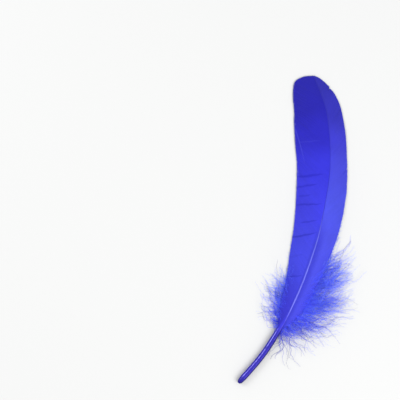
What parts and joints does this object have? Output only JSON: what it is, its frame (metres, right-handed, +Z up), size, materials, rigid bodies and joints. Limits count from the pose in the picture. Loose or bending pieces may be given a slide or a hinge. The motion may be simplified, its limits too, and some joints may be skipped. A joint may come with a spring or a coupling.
{
  "type": "goose quill feather",
  "caption": "Dyed goose wing feather with a bowed shaft, a wide and a narrow vane and soft down at the base, lying domed face up.",
  "frame": {"origin": "on the surface that the feather lies on, under the middle of its box", "axes": "+Y runs along the feather from the end of the quill to the tip, +Z is up, out of the domed upper face, and +X is the side that the shaft bows to, where the narrow vane is"},
  "size_m": [0.0632, 0.1716, 0.0071],
  "materials": {
    "vane": "satin",
    "quill": "gloss",
    "down": "matte"
  },
  "bodies": {
    "root": {"feather": "vane"}
  },
  "joints": []
}
